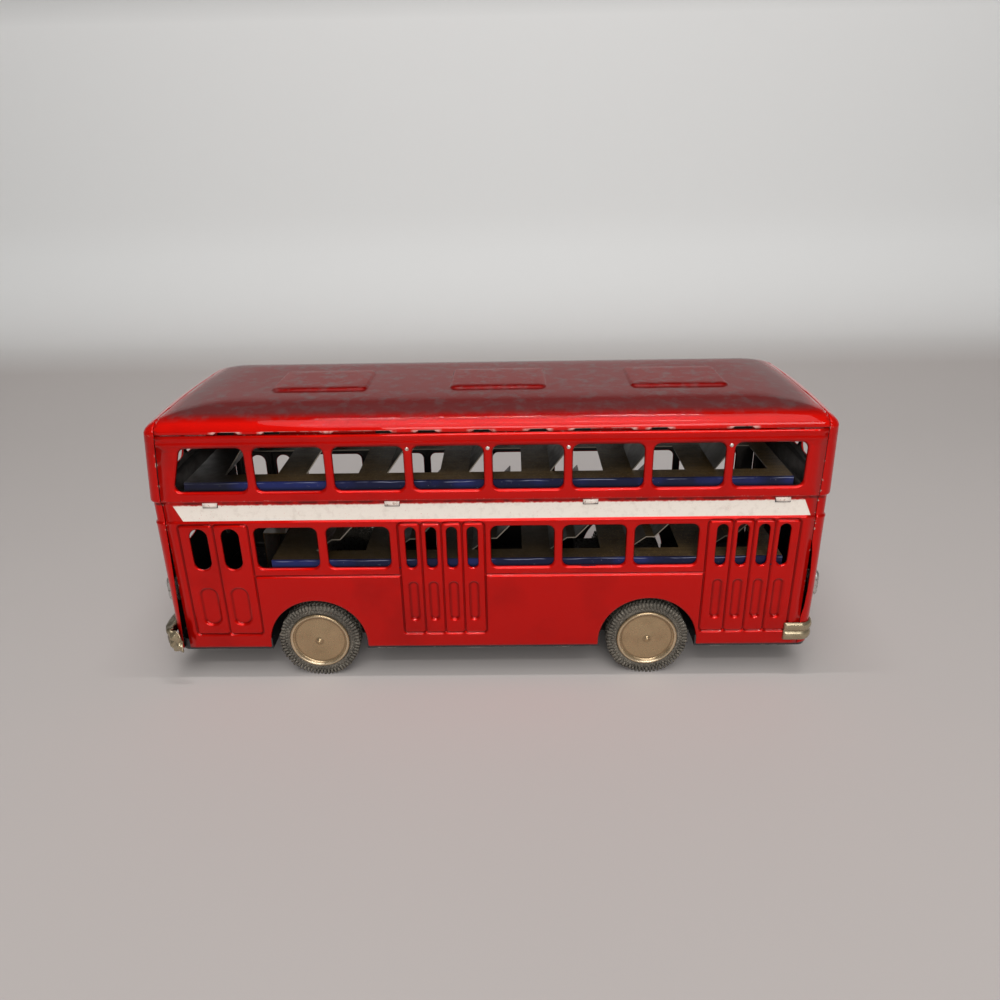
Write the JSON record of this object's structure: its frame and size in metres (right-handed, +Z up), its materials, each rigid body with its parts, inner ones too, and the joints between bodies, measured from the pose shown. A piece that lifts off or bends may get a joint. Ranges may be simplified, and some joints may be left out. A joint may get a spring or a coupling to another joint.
{
  "type": "toy double decker bus",
  "caption": "Pressed tinplate toy double decker bus with windows cut through, lanced seats on both decks, wrap-round bumpers and free-rolling wheelsets.",
  "frame": {"origin": "on the floor, below the middle of the body", "axes": "+X towards the rear of the bus, +Y towards its right side, +Z up"},
  "size_m": [0.32, 0.1069, 0.1401],
  "materials": {
    "red_tinplate": "gloss red lacquer on tinplate",
    "black_tinplate": "semi-gloss black lacquer on tinplate",
    "deck_tinplate": "lithographed khaki and blue tinplate",
    "seat_tinplate": "lithographed orange red tinplate",
    "bumper_tinplate": "dull nickel plated tinplate",
    "motor_steel": "bare steel",
    "axle_steel": "bare steel",
    "tyre_rubber": "aged black rubber",
    "disc_tinplate": "gold lacquered tinplate",
    "inner_disc_tinplate": "bare tinplate",
    "lamp_metal": "silvered tinplate"
  },
  "bodies": {
    "root": {"left_side_panel": "red_tinplate", "right_side_panel": "red_tinplate", "front_panel": "red_tinplate", "rear_panel": "red_tinplate", "roof_panel": "red_tinplate", "chassis_plate": "black_tinplate", "upper_deck": "deck_tinplate", "lower_deck": "deck_tinplate", "driver_seat": "seat_tinplate", "front_bumper": "bumper_tinplate", "rear_bumper": "bumper_tinplate", "friction_motor": "motor_steel", "front_left_lamp": "lamp_metal", "front_right_lamp": "lamp_metal", "rear_left_lamp": "lamp_metal", "rear_right_lamp": "lamp_metal"},
    "front_wheelset": {"front_axle": "axle_steel", "front_left_tyre": "tyre_rubber", "front_left_wheel_disc": "disc_tinplate", "front_left_inner_disc": "inner_disc_tinplate", "front_right_tyre": "tyre_rubber", "front_right_wheel_disc": "disc_tinplate", "front_right_inner_disc": "inner_disc_tinplate"},
    "rear_wheelset": {"rear_axle": "axle_steel", "rear_left_tyre": "tyre_rubber", "rear_left_wheel_disc": "disc_tinplate", "rear_left_inner_disc": "inner_disc_tinplate", "rear_right_tyre": "tyre_rubber", "rear_right_wheel_disc": "disc_tinplate", "rear_right_inner_disc": "inner_disc_tinplate"}
  },
  "joints": [
    {"name": "front_wheels_spin", "type": "hinge", "parent": "root", "child": "front_wheelset", "pos_m": [-0.0855, 0, 0.02], "axis": [0, 1, 0], "continuous": true},
    {"name": "rear_wheels_spin", "type": "hinge", "parent": "root", "child": "rear_wheelset", "pos_m": [0.077, 0, 0.02], "axis": [0, 1, 0], "continuous": true}
  ]
}
